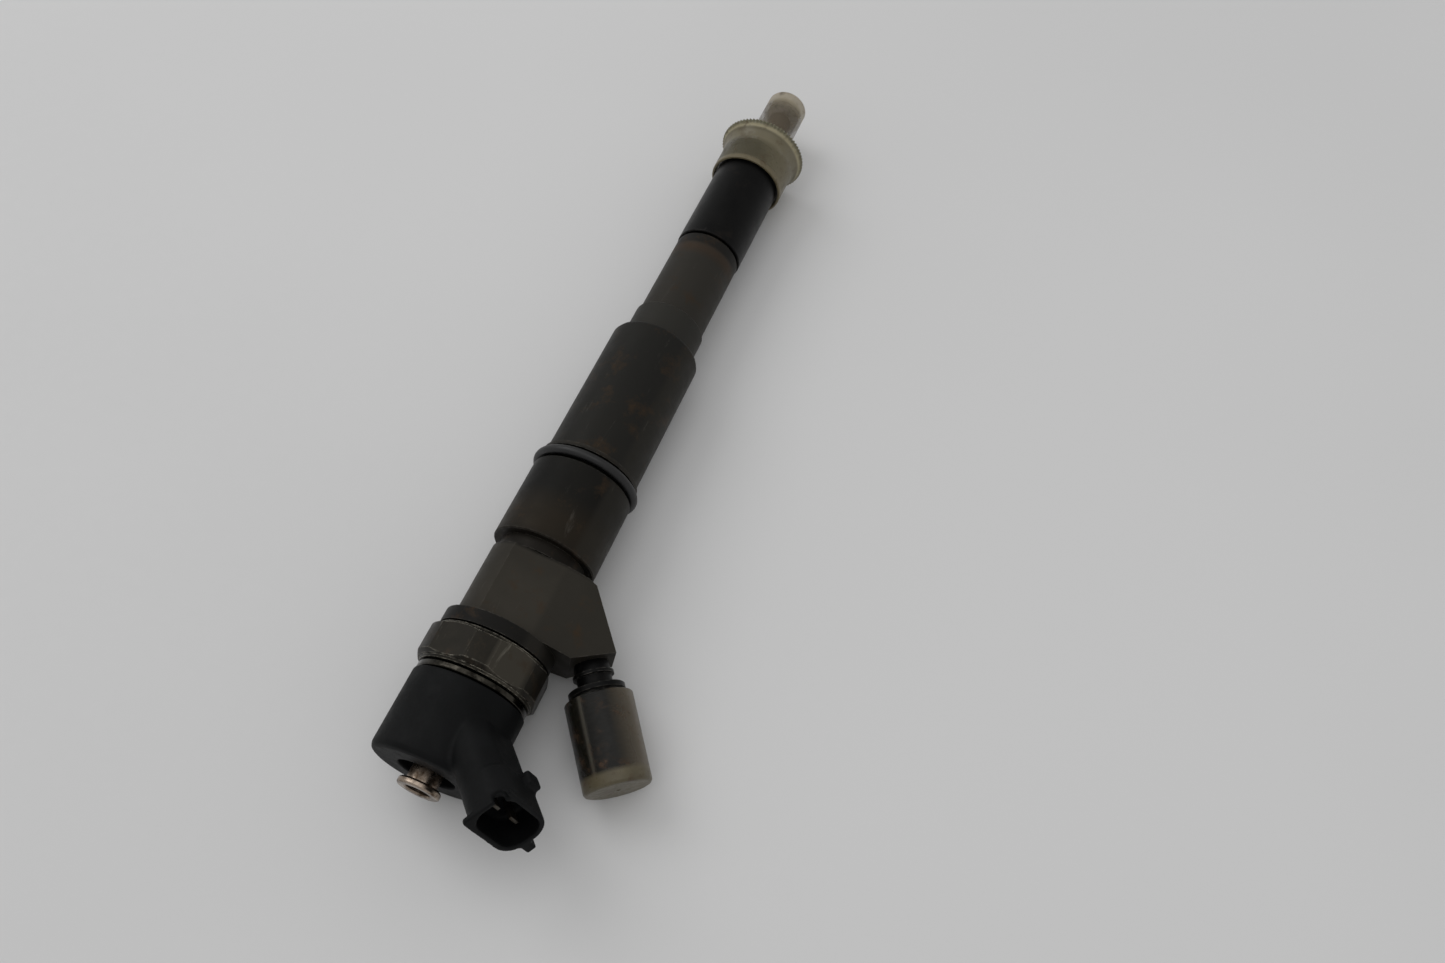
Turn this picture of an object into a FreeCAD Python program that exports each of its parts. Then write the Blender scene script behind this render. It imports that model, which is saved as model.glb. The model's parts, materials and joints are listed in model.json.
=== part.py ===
import FreeCAD, Part
import math
import os
import re
import Sketcher

# Common-rail diesel fuel injector lying on its side, with its two transport caps on.
# The injector's long axis is the Y axis and points from the electrical head to the nozzle tip.
# Stations along that axis are measured from the end of the nozzle nut's cylindrical land.
# The inlet arm and the plug socket each have an axis of their own that leaves the long axis.

doc = FreeCAD.newDocument("fuel_injector")
sheet = doc.addObject("Spreadsheet::Sheet", "Sizes")

SIZES = {
    # holder body, outside
    "spigot_radius": 12.0,
    "spigot_top": -176.4,
    "disc_radius": 14.0,
    "disc_top": -170.5,
    "disc_bottom": -167.0,
    "block_radius": 12.0,
    "block_flat": 10.4,
    "block_bottom": -148.0,
    "clamp_groove_radius": 11.0,
    "guide_top": -144.8,
    "guide_radius": 13.3,
    "ring_groove_top": -123.1,
    "ring_groove_bottom": -119.3,
    "ring_groove_radius": 11.7,
    "ring_collar_radius": 13.0,
    "shank_top": -118.0,
    "shank_radius": 12.34,
    "shank_bottom": -76.5,
    "step_radius": 9.9,
    "step_bottom": -67.3,
    "neck_radius": 9.24,
    "neck_bottom": -40.0,
    "holder_thread_radius": 8.4,
    "holder_end": -25.0,
    # holder body, inside
    "chamber_radius": 9.2,
    "chamber_floor": -161.0,
    "stem_bore_radius": 5.7,
    "stem_bore_end": -145.5,
    "piston_bore_radius": 2.6,
    "spring_bore_radius": 3.9,
    "spring_bore_top": -70.0,
    "feed_offset": 6.0,
    "feed_radius": 0.85,
    "leak_offset": 7.2,
    "leak_radius": 0.75,
    # inlet arm
    "arm_roll": 10.74,
    "arm_angle": 37.08,
    "arm_station": -135.2,
    "arm_face": 36.0,
    "arm_hole_radius": 4.05,
    "arm_feed_radius": 1.4,
    "fitting_start": 24.1,
    "fitting_neck_radius": 4.15,
    "fitting_collar_radius": 6.7,
    "inlet_thread_radius": 7.0,
    "inlet_thread_start": 43.9,
    "inlet_thread_end": 58.5,
    "fitting_end": 60.0,
    "filter_radius": 1.93,
    "inlet_cap_rim": 44.4,
    "inlet_cap_end": 65.7,
    "inlet_cap_rim_radius": 8.07,
    "inlet_cap_end_radius": 7.92,
    # solenoid nut and the magnet it clamps
    "nut_top": -180.3,
    "nut_bottom": -171.0,
    "nut_corner_radius": 15.3,
    "nut_across_flats": 29.0,
    "nut_flat_roll": 50.0,
    "nut_lip_radius": 10.2,
    "nut_lip_bottom": -178.05,
    "bright_ring_radius": 13.6,
    "bright_ring_top": -182.4,
    "can_radius": 10.1,
    "can_inner": 8.3,
    "can_top": -198.0,
    "can_end_wall": 1.4,
    "can_flange_radius": 11.9,
    "can_bottom": -174.5,
    "core_radius": 8.25,
    "core_face": -176.05,
    "core_hole_radius": 2.6,
    "coil_inner": 4.3,
    "coil_outer": 7.2,
    "coil_floor": -186.0,
    # head cover, nipple and plug socket
    "cover_radius": 13.9,
    "cover_top": -202.0,
    "cover_rounding": 1.4,
    "pocket_radius": 6.9,
    "pocket_floor": -199.0,
    "nipple_end": -206.0,
    "nipple_radius": 5.1,
    "nipple_bore": 3.0,
    "nipple_shank": 3.72,
    "socket_roll": 27.0,
    "socket_angle": 50.0,
    "socket_station": -183.75,
    "socket_mouth": 36.7,
    "socket_shoulder": 27.2,
    "socket_floor": 28.6,
    "socket_wide": 11.6,
    "socket_high": 17.0,
    "socket_wall": 1.2,
    "socket_corner": 4.8,
    "socket_start": 10.0,
    "neck_wide": 10.7,
    "neck_high": 14.5,
    "blade_start": 21.8,
    "blade_end": 33.6,
    "blade_wide": 2.8,
    "blade_thick": 0.8,
    "blade_spread": 3.4,
    # armature and pilot valve
    "plate_radius": 7.2,
    "plate_top": -175.85,
    "plate_bottom": -174.3,
    "bolt_radius": 2.0,
    "bolt_neck": 1.5,
    "bolt_end": -167.6,
    "guide_ring_radius": 9.15,
    "guide_ring_top": -173.9,
    "guide_floor": -171.8,
    "valve_flange_top": -165.0,
    "valve_flange_radius": 8.9,
    "valve_stem_radius": 5.2,
    "valve_stem_end": -146.0,
    "seat_top": -166.2,
    "ball_radius": 0.67,
    "ball_station": -166.62,
    "piston_radius": 2.1,
    "piston_top": -162.6,
    "piston_end": -64.0,
    # nozzle
    "nozzle_spring_end": -38.0,
    "pin_radius": 1.9,
    "pin_end": -26.0,
    "needle_radius": 2.0,
    "needle_stem_radius": 1.5,
    "nozzle_collar_radius": 7.15,
    "nozzle_collar_end": -6.0,
    "nozzle_shaft_radius": 3.5,
    "nozzle_shaft_end": 19.5,
    "nozzle_tip": 23.5,
    "nozzle_nut_top": -39.6,
    "nozzle_nut_radius": 9.5,
    "nozzle_nut_face": 2.0,
    # nozzle cap
    "cap_rim": -10.0,
    "cap_skirt_radius": 10.8,
    "cap_flange_radius": 12.9,
    "cap_flange_side": 3.0,
    "cap_flange_end": 4.6,
    "cap_tube_radius": 6.16,
    "cap_end": 26.7,
    "cap_bore": 9.6,
    "cap_tube_bore": 5.0,
    # rubber rings
    "body_ring_thick": 1.25,
    "head_ring_thick": 0.7,
}

for row, (alias, size) in enumerate(SIZES.items(), start=1):
    sheet.set("A%d" % row, alias)
    sheet.set("B%d" % row, str(size))
    sheet.setAlias("B%d" % row, alias)
doc.recompute()

X = FreeCAD.Vector(1, 0, 0)
Y = FreeCAD.Vector(0, 1, 0)
Z = FreeCAD.Vector(0, 0, 1)


def bind(text):
    """An expression written with size names, made to read them from the sheet."""
    return re.sub(r"[a-z]\w+", lambda word: "Sizes." + word.group(0), text)


def value(text):
    return float(sheet.evalExpression(bind(text)))


def tilted(station, angle, roll):
    """Placement whose Y axis leaves the long axis at a station, leaning back toward the head."""
    turn = FreeCAD.Rotation(Y, roll) * FreeCAD.Rotation(Z, angle - 180)
    return FreeCAD.Placement(FreeCAD.Vector(0, station, 0), turn)


ARM = tilted(value("arm_station"), value("arm_angle"), value("arm_roll"))
SOCKET = tilted(value("socket_station"), value("socket_angle"), -value("socket_roll"))
ALONG = FreeCAD.Placement(FreeCAD.Vector(0, 0, 0), FreeCAD.Rotation(Y, value("arm_roll")))
HERE = FreeCAD.Placement()


def polygon(body, name, plane_role, points):
    """A closed sketch through points, each held to the sketch's axes by the sheet's sizes."""
    sketch = body.newObject("Sketcher::SketchObject", name)
    plane = [part for part in body.Origin.OriginFeatures if part.Role == plane_role][0]
    sketch.AttachmentSupport = [(plane, "")]
    sketch.MapMode = "FlatFace"
    corners = [FreeCAD.Vector(value(across), value(along), 0) for across, along in points]
    count = len(corners)
    for i in range(count):
        sketch.addGeometry(Part.LineSegment(corners[i], corners[(i + 1) % count]), False)
    for i in range(count):
        sketch.addConstraint(Sketcher.Constraint("Coincident", i, 2, (i + 1) % count, 1))
    for i, (across, along) in enumerate(points):
        for kind, text, here, axis in (
            ("DistanceX", across, corners[i].x, -2),
            ("DistanceY", along, corners[i].y, -1),
        ):
            if here == 0:
                sketch.addConstraint(Sketcher.Constraint("PointOnObject", i, 1, axis))
            else:
                rule = Sketcher.Constraint(kind, -1, 1, i, 1, here)
                index = sketch.addConstraint(rule)
                sketch.setExpression("Constraints[%d]" % index, bind(text))
    return sketch


def turned(name, points, place=HERE):
    """A body turned about its own Y axis from a half section of (radius, station) pairs."""
    body = doc.addObject("PartDesign::Body", name)
    sketch = polygon(body, name + "_section", "XY_Plane", points)
    spin = body.newObject("PartDesign::Revolution", name + "_turn")
    spin.Profile = sketch
    spin.ReferenceAxis = (sketch, ["V_Axis"])
    spin.Angle = 360
    body.Placement = place
    doc.recompute()
    return body


def slab(name, points, half_thickness, place, plane_role="XY_Plane"):
    """A flat plate padded both ways from a closed outline."""
    body = doc.addObject("PartDesign::Body", name)
    sketch = polygon(body, name + "_outline", plane_role, points)
    pad = body.newObject("PartDesign::Pad", name + "_pad")
    pad.Profile = sketch
    pad.setExpression("Length", bind("2 * (%s)" % half_thickness))
    pad.Midplane = True
    body.Placement = place
    doc.recompute()
    return body


def box(name, wide, along, high, start, place, shift=(0, 0)):
    """A block centred on a local Y axis, starting at a distance along it."""
    block = doc.addObject("Part::Box", name)
    block.setExpression("Length", bind(wide))
    block.setExpression("Width", bind(along))
    block.setExpression("Height", bind(high))
    corner = FreeCAD.Vector(shift[0] - value(wide) / 2, value(start), shift[1] - value(high) / 2)
    block.Placement = place.multiply(FreeCAD.Placement(corner, FreeCAD.Rotation()))
    doc.recompute()
    return block


def drill(name, radius, length, start, direction):
    """A drilling from a start point along a direction."""
    tool = doc.addObject("Part::Cylinder", name)
    tool.setExpression("Radius", bind(radius))
    tool.setExpression("Height", bind(length))
    tool.Placement = FreeCAD.Placement(start, FreeCAD.Rotation(Z, direction))
    doc.recompute()
    return tool


def at(place, across, along, up=0.0):
    return place.multVec(FreeCAD.Vector(across, along, up))


def heading(place):
    return place.Rotation.multVec(Y)


def joined(name, *pieces):
    fuse = doc.addObject("Part::MultiFuse", name)
    fuse.Shapes = list(pieces)
    doc.recompute()
    return fuse


def less(name, base, *tools):
    for number, tool in enumerate(tools):
        last = number == len(tools) - 1
        cut = doc.addObject("Part::Cut", name if last else "%s_cut_%d" % (name, number))
        cut.Base = base
        cut.Tool = tool
        base = cut
    doc.recompute()
    return base


def common(name, first, second):
    both = doc.addObject("Part::Common", name)
    both.Base = first
    both.Tool = second
    doc.recompute()
    return both


def group(name, *pieces):
    """Identical solids kept as one sub-part."""
    bundle = doc.addObject("Part::Compound", name)
    bundle.Links = list(pieces)
    doc.recompute()
    return bundle


def ring(name, middle_radius, thickness, station):
    """A round rubber ring about the long axis."""
    torus = doc.addObject("Part::Torus", name)
    torus.setExpression("Radius1", bind(middle_radius))
    torus.setExpression("Radius2", bind(thickness))
    torus.Placement = FreeCAD.Placement(
        FreeCAD.Vector(0, value(station), 0), FreeCAD.Rotation(Z, Y)
    )
    doc.recompute()
    return torus


def coil_spring(name, start, end, radius, wire, turns):
    """A round-wire compression spring about the long axis, between two stations."""
    first = value(start) + value(wire)
    last = value(end) - value(wire)
    helix = doc.addObject("Part::Helix", name + "_path")
    helix.setExpression("Radius", bind(radius))
    helix.Pitch = (last - first) / turns
    helix.Height = last - first
    section = doc.addObject("Part::Circle", name + "_wire")
    section.setExpression("Radius", bind(wire))
    section.Placement = FreeCAD.Placement(
        FreeCAD.Vector(value(radius), 0, 0), FreeCAD.Rotation(Z, Y)
    )
    doc.recompute()
    sweep = doc.addObject("Part::Sweep", name)
    sweep.Sections = [section]
    sweep.Spine = (helix, ["Edge1"])
    sweep.Solid = True
    sweep.Frenet = True
    sweep.Placement = FreeCAD.Placement(FreeCAD.Vector(0, first, 0), FreeCAD.Rotation(Z, Y))
    doc.recompute()
    return sweep


def holder_body():
    """Forged holder: nut spigot, disc, block with the inlet arm, guide, shank and neck."""
    outside = turned("holder_outside", [
        ("0", "spigot_top"),
        ("spigot_radius - 0.6", "spigot_top"),
        ("spigot_radius", "spigot_top + 0.6"),
        ("spigot_radius", "disc_top - 1.0"),
        ("spigot_radius - 0.7", "disc_top - 1.0"),
        ("spigot_radius - 0.7", "disc_top"),
        ("disc_radius", "disc_top"),
        ("disc_radius", "disc_bottom"),
        ("block_radius", "disc_bottom"),
        ("block_radius", "block_bottom"),
        ("clamp_groove_radius", "block_bottom"),
        ("clamp_groove_radius", "guide_top"),
        ("guide_radius - 0.3", "guide_top"),
        ("guide_radius", "guide_top + 0.3"),
        ("guide_radius", "ring_groove_top - 0.3"),
        ("guide_radius - 0.3", "ring_groove_top"),
        ("ring_groove_radius", "ring_groove_top"),
        ("ring_groove_radius", "ring_groove_bottom"),
        ("ring_collar_radius", "ring_groove_bottom"),
        ("ring_collar_radius", "shank_top - 0.3"),
        ("shank_radius", "shank_top"),
        ("shank_radius", "shank_bottom - 1.5"),
        ("shank_radius - 0.5", "shank_bottom - 0.5"),
        ("shank_radius - 1.4", "shank_bottom"),
        ("step_radius", "shank_bottom"),
        ("step_radius", "step_bottom - 0.7"),
        ("neck_radius", "step_bottom"),
        ("neck_radius", "neck_bottom - 0.5"),
        ("neck_radius - 0.9", "neck_bottom"),
        ("holder_thread_radius - 0.4", "neck_bottom"),
        ("holder_thread_radius - 0.4", "neck_bottom + 1.6"),
        ("holder_thread_radius", "neck_bottom + 2.0"),
        ("holder_thread_radius", "holder_end - 0.4"),
        ("holder_thread_radius - 0.4", "holder_end"),
        ("0", "holder_end"),
    ])
    flats = slab("block_flats", [
        ("-20", "disc_bottom"),
        ("20", "disc_bottom"),
        ("20", "block_bottom"),
        ("-20", "block_bottom"),
    ], "20", ALONG)
    keep = slab("block_keep", [
        ("-21", "disc_bottom - 1"),
        ("21", "disc_bottom - 1"),
        ("21", "block_bottom + 1"),
        ("-21", "block_bottom + 1"),
    ], "block_flat", ALONG)
    shaped = less("holder_flatted", outside, less("flat_waste", flats, keep))
    arm_side = slab("arm_side", [
        ("0", "disc_bottom"),
        ("17.4", "disc_bottom"),
        ("26.1", "disc_bottom + 6.5"),
        ("15.4", "block_bottom - 0.6"),
        ("13.0", "block_bottom"),
        ("0", "block_bottom"),
    ], "block_flat", ALONG)
    arm_end = slab("arm_end", [
        ("0", "block_flat"),
        ("7.0", "block_flat"),
        ("28.0", "4.9"),
        ("28.0", "-4.9"),
        ("7.0", "-block_flat"),
        ("0", "-block_flat"),
    ], "200", ALONG, "XZ_Plane")
    arm = common("arm", arm_side, arm_end)
    inside = turned("holder_inside", [
        ("0", "spigot_top - 1"),
        ("chamber_radius + 1.4", "spigot_top - 1"),
        ("chamber_radius + 1.4", "spigot_top + 1.8"),
        ("chamber_radius", "spigot_top + 1.8"),
        ("chamber_radius", "chamber_floor"),
        ("stem_bore_radius", "chamber_floor"),
        ("stem_bore_radius", "stem_bore_end"),
        ("piston_bore_radius", "stem_bore_end + 1.5"),
        ("piston_bore_radius", "spring_bore_top"),
        ("spring_bore_radius", "spring_bore_top"),
        ("spring_bore_radius", "holder_end + 1"),
        ("0", "holder_end + 1"),
    ])
    feed = drill("feed_drilling", "feed_radius", "124",
                 at(ALONG, value("feed_offset"), value("block_bottom")), Y)
    leak = drill("leak_drilling", "leak_radius", "95",
                 at(ALONG, -value("leak_offset"), value("chamber_floor") - 1), Y)
    leak_cross = drill("leak_cross", "leak_radius", "leak_offset",
                       at(ALONG, 0, value("chamber_floor") + 93.5),
                       ALONG.Rotation.multVec(-X))
    arm_hole = drill("arm_hole", "arm_hole_radius", "20",
                     at(ARM, 0, value("fitting_start")), heading(ARM))
    arm_feed = drill("arm_feed", "arm_feed_radius", "16",
                     at(ARM, 0, 10.0), heading(ARM))
    tools = [inside, feed, leak, leak_cross, arm_hole, arm_feed]
    for side, roll in enumerate((100, -100)):
        tools.append(drill("dowel_hole_%d" % side, "0.8", "3",
                           dowel_point(roll, value("holder_end") - 2), Y))
    return less("holder_body", joined("holder_solid", shaped, arm), *tools)


def dowel_point(roll, station):
    turn = math.radians(roll - value("arm_roll"))
    reach = value("feed_offset")
    return FreeCAD.Vector(reach * math.cos(turn), station, reach * math.sin(turn))


def solenoid_nut():
    """Hexagonal clamping nut with rounded corners, chamfered at both ends."""
    blank = turned("nut_blank", [
        ("nut_lip_radius", "nut_top"),
        ("nut_corner_radius - 1.5", "nut_top"),
        ("nut_corner_radius - 1.3", "nut_top + 0.7"),
        ("nut_corner_radius - 0.9", "nut_top + 0.7"),
        ("nut_corner_radius", "nut_top + 1.5"),
        ("nut_corner_radius", "nut_bottom - 1.1"),
        ("nut_corner_radius - 0.9", "nut_bottom - 0.5"),
        ("nut_corner_radius - 1.3", "nut_bottom - 0.5"),
        ("nut_corner_radius - 1.3", "nut_bottom"),
        ("spigot_radius + 0.05", "nut_bottom"),
        ("spigot_radius + 0.05", "nut_lip_bottom"),
        ("nut_lip_radius", "nut_lip_bottom"),
    ])
    hexagon = doc.addObject("Part::Prism", "nut_hexagon")
    hexagon.Polygon = 6
    hexagon.Circumradius = value("nut_across_flats") / math.sqrt(3)
    hexagon.Height = 20
    hexagon.Placement = FreeCAD.Placement(
        FreeCAD.Vector(0, value("nut_bottom") + 5, 0),
        FreeCAD.Rotation(Y, -value("nut_flat_roll") - 30) * FreeCAD.Rotation(Z, -Y),
    )
    return common("solenoid_nut", blank, hexagon)


def bright_ring():
    """Bright steel ring that holds the nut on the magnet can."""
    return turned("nut_retaining_ring", [
        ("can_radius + 0.05", "bright_ring_top"),
        ("bright_ring_radius - 0.5", "bright_ring_top"),
        ("bright_ring_radius", "bright_ring_top + 0.5"),
        ("bright_ring_radius", "nut_top - 0.6"),
        ("bright_ring_radius - 0.4", "nut_top - 0.1"),
        ("can_radius + 0.05", "nut_top - 0.1"),
    ])


def magnet_can():
    """Steel can of the solenoid with its clamping flange and locating spigot."""
    return turned("magnet_can", [
        ("nipple_shank + 0.03", "can_top"),
        ("can_radius", "can_top"),
        ("can_radius", "nut_lip_bottom + 0.05"),
        ("can_flange_radius", "nut_lip_bottom + 0.05"),
        ("can_flange_radius", "spigot_top - 0.05"),
        ("chamber_radius - 0.1", "spigot_top - 0.05"),
        ("chamber_radius - 0.1", "can_bottom"),
        ("can_inner", "can_bottom"),
        ("can_inner", "can_top + can_end_wall"),
        ("nipple_shank + 0.03", "can_top + can_end_wall"),
    ])


def magnet_core():
    """Pot core with an annular slot for the coil and a stepped middle hole."""
    return turned("magnet_core", [
        ("1.8", "can_top + can_end_wall + 0.1"),
        ("core_radius", "can_top + can_end_wall + 0.1"),
        ("core_radius", "core_face"),
        ("coil_outer", "core_face"),
        ("coil_outer", "coil_floor"),
        ("coil_inner", "coil_floor"),
        ("coil_inner", "core_face"),
        ("core_hole_radius", "core_face"),
        ("core_hole_radius", "coil_floor - 4.0"),
        ("1.8", "coil_floor - 4.0"),
    ])


def coil_bobbin():
    """Plastic bobbin in the core's slot."""
    return turned("coil_bobbin", [
        ("coil_inner + 0.05", "coil_floor + 0.1"),
        ("coil_outer - 0.05", "coil_floor + 0.1"),
        ("coil_outer - 0.05", "coil_floor + 0.8"),
        ("coil_inner + 0.65", "coil_floor + 0.8"),
        ("coil_inner + 0.65", "core_face - 0.95"),
        ("coil_outer - 0.05", "core_face - 0.95"),
        ("coil_outer - 0.05", "core_face - 0.25"),
        ("coil_inner + 0.05", "core_face - 0.25"),
    ])


def coil_winding():
    """Copper winding on the bobbin."""
    return turned("coil_winding", [
        ("coil_inner + 0.7", "coil_floor + 0.85"),
        ("coil_outer - 0.3", "coil_floor + 0.85"),
        ("coil_outer - 0.3", "core_face - 1.0"),
        ("coil_inner + 0.7", "core_face - 1.0"),
    ])


def return_nipple():
    """Tubular return connection with a clip groove behind its collar."""
    return turned("return_nipple", [
        ("nipple_bore", "nipple_end + 0.3"),
        ("nipple_bore + 0.3", "nipple_end"),
        ("nipple_radius - 0.3", "nipple_end"),
        ("nipple_radius", "nipple_end + 0.3"),
        ("nipple_radius", "nipple_end + 1.2"),
        ("nipple_radius - 0.4", "nipple_end + 1.6"),
        ("nipple_shank", "nipple_end + 1.6"),
        ("nipple_shank", "pocket_floor - 1.2"),
        ("nipple_radius - 0.4", "pocket_floor - 1.2"),
        ("nipple_radius - 0.4", "pocket_floor - 0.02"),
        ("nipple_shank", "pocket_floor - 0.02"),
        ("nipple_shank", "can_top + can_end_wall"),
        ("nipple_bore", "can_top + can_end_wall"),
    ])


def rounded_bar(name, wide, high, start, end, place, upper, lower):
    """A bar along a local Y axis whose upper and lower corners have their own roundings."""
    body = doc.addObject("PartDesign::Body", name)
    sketch = polygon(body, name + "_section", "XZ_Plane", [
        ("-(%s) / 2" % wide, "-(%s) / 2" % high),
        ("(%s) / 2" % wide, "-(%s) / 2" % high),
        ("(%s) / 2" % wide, "(%s) / 2" % high),
        ("-(%s) / 2" % wide, "(%s) / 2" % high),
    ])
    pad = body.newObject("PartDesign::Pad", name + "_pad")
    pad.Profile = sketch
    pad.setExpression("Length", bind("(%s) - (%s)" % (end, start)))
    pad.Reversed = True
    doc.recompute()
    body.Placement = place.multiply(
        FreeCAD.Placement(FreeCAD.Vector(0, value(start), 0), FreeCAD.Rotation())
    )
    for label, radius, side in (("upper", upper, 1), ("lower", lower, -1)):
        base = body.Tip
        edges = []
        for number, edge in enumerate(base.Shape.Edges, start=1):
            box_of = edge.BoundBox
            if box_of.YLength > 1 and box_of.ZLength < 0.01 and box_of.ZMin * side > 0.2 * value(high):
                edges.append("Edge%d" % number)
        rounding = body.newObject("PartDesign::Fillet", "%s_%s_round" % (name, label))
        rounding.Base = (base, edges)
        rounding.Radius = radius
        doc.recompute()
    return body


def head_cover():
    """Moulded head cover in one piece with the plug socket."""
    shell = turned("cover_shell", [
        ("0", "cover_top"),
        ("cover_radius - cover_rounding", "cover_top"),
        ("cover_radius - 0.4", "cover_top + 0.4"),
        ("cover_radius", "cover_top + cover_rounding"),
        ("cover_radius", "bright_ring_top - 0.05"),
        ("0", "bright_ring_top - 0.05"),
    ])
    neck_place = SOCKET.multiply(FreeCAD.Placement(FreeCAD.Vector(0.45, 0, 1.25), FreeCAD.Rotation()))
    neck = rounded_bar("socket_neck", "neck_wide", "neck_high", "socket_start",
                       "socket_mouth - 2", neck_place, value("socket_corner"), 1.2)
    sleeve = rounded_bar("socket_sleeve", "socket_wide", "socket_high", "socket_shoulder",
                         "socket_mouth", SOCKET, value("socket_corner"), value("socket_corner"))
    lip = rounded_bar("socket_lip", "socket_wide", "socket_high", "socket_mouth - 1.2",
                      "socket_mouth", SOCKET, 1.0, value("socket_corner"))
    lug = box("socket_lug", "2.6", "3.4", "4.0", "socket_shoulder - 1.4", SOCKET,
              (-0.5 * value("socket_wide") - 0.2, -3.6))
    latch = box("socket_latch", "2.3", "4.0", "3.8", "socket_mouth - 4", SOCKET,
                (1.3, -0.5 * value("socket_high") - 0.8))
    inner = value("socket_corner") - value("socket_wall")
    cavity = rounded_bar("socket_cavity", "socket_wide - 2 * socket_wall",
                         "socket_high - 2 * socket_wall", "socket_floor", "socket_mouth + 2",
                         SOCKET, inner, inner)
    window = box("socket_window", "3.0", "6.0", "4.0", "socket_mouth - 2.4", SOCKET,
                 (-3.4, 0.5 * value("socket_high")))
    inside = turned("cover_inside", [
        ("0", "cover_top - 1"),
        ("pocket_radius", "cover_top - 1"),
        ("pocket_radius", "pocket_floor"),
        ("nipple_shank + 0.03", "pocket_floor"),
        ("nipple_shank + 0.03", "can_top - 0.05"),
        ("can_radius + 0.05", "can_top - 0.05"),
        ("can_radius + 0.05", "bright_ring_top + 1"),
        ("0", "bright_ring_top + 1"),
    ])
    solid = joined("cover_solid", shell, neck, sleeve, lip, lug, latch)
    slots = [blade("blade_slot_%d" % side, side) for side in (-1, 1)]
    return less("head_cover", solid, inside, cavity, window, *slots)


def blade(name, side):
    return box(name, "blade_thick", "blade_end - blade_start", "blade_wide", "blade_start",
               SOCKET, (0, side * value("blade_spread")))


def terminals():
    """Two flat contact blades standing in the plug socket."""
    return group("terminals", blade("terminal_left", -1), blade("terminal_right", 1))


def spring_rest():
    """Shim that sets the valve spring's load."""
    return turned("valve_spring_shim", [
        ("1.2", "coil_floor - 3.98"),
        ("core_hole_radius - 0.1", "coil_floor - 3.98"),
        ("core_hole_radius - 0.1", "coil_floor - 3.2"),
        ("1.2", "coil_floor - 3.2"),
    ])


def armature_plate():
    """Flat armature that slides on the bolt's neck."""
    return turned("armature_plate", [
        ("bolt_neck + 0.03", "plate_top"),
        ("plate_radius", "plate_top"),
        ("plate_radius", "plate_bottom"),
        ("3.3", "plate_bottom"),
        ("2.9", "plate_bottom + 0.3"),
        ("bolt_neck + 0.03", "plate_bottom + 0.3"),
    ])


def armature_bolt():
    """Guided bolt that carries the armature and presses the ball on its seat."""
    return turned("armature_bolt", [
        ("0", "plate_top - 1.75"),
        ("bolt_neck - 0.2", "plate_top - 1.75"),
        ("bolt_neck", "plate_top - 1.5"),
        ("bolt_neck", "plate_top - 1.05"),
        ("bolt_radius + 0.2", "plate_top - 1.05"),
        ("bolt_radius + 0.2", "plate_top - 0.02"),
        ("bolt_neck", "plate_top - 0.02"),
        ("bolt_neck", "guide_floor - 0.4"),
        ("bolt_radius", "guide_floor"),
        ("bolt_radius", "bolt_end"),
        ("0", "bolt_end"),
    ])


def air_gap_shim():
    return turned("air_gap_shim", [
        ("guide_ring_radius - 1.4", "can_bottom + 0.05"),
        ("guide_ring_radius - 0.05", "can_bottom + 0.05"),
        ("guide_ring_radius - 0.05", "guide_ring_top - 0.02"),
        ("guide_ring_radius - 1.4", "guide_ring_top - 0.02"),
    ])


def armature_guide():
    """Screwed guide that clamps the valve body and leads the armature bolt."""
    blank = turned("guide_blank", [
        ("guide_ring_radius - 1.45", "guide_ring_top"),
        ("guide_ring_radius", "guide_ring_top"),
        ("guide_ring_radius", "valve_flange_top - 0.02"),
        ("4.2", "valve_flange_top - 0.02"),
        ("4.2", "valve_flange_top - 2.2"),
        ("bolt_radius + 0.04", "valve_flange_top - 2.2"),
        ("bolt_radius + 0.04", "guide_floor + 2.0"),
        ("3.5", "guide_floor + 2.0"),
        ("3.5", "guide_floor"),
        ("guide_ring_radius - 1.45", "guide_floor"),
    ])
    holes = []
    for number in range(3):
        turn = math.radians(180 + 120 * number - value("arm_roll"))
        reach = value("leak_offset") - 1.0
        point = FreeCAD.Vector(reach * math.cos(turn), value("guide_ring_top"), reach * math.sin(turn))
        holes.append(drill("guide_hole_%d" % number, "1.0", "12", point, Y))
    return less("armature_guide", blank, *holes)


def ball_cap():
    return turned("ball_cap", [
        ("0", "bolt_end + 0.01"),
        ("1.6", "bolt_end + 0.01"),
        ("1.6", "ball_station - 0.2"),
        ("ball_radius + 0.05", "ball_station - 0.2"),
        ("ball_radius + 0.05", "ball_station - ball_radius - 0.02"),
        ("0", "ball_station - ball_radius - 0.02"),
    ])


def valve_ball():
    ball = doc.addObject("Part::Sphere", "valve_ball")
    ball.setExpression("Radius", bind("ball_radius"))
    ball.Placement.Base = FreeCAD.Vector(0, value("ball_station"), 0)
    doc.recompute()
    return ball


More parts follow.
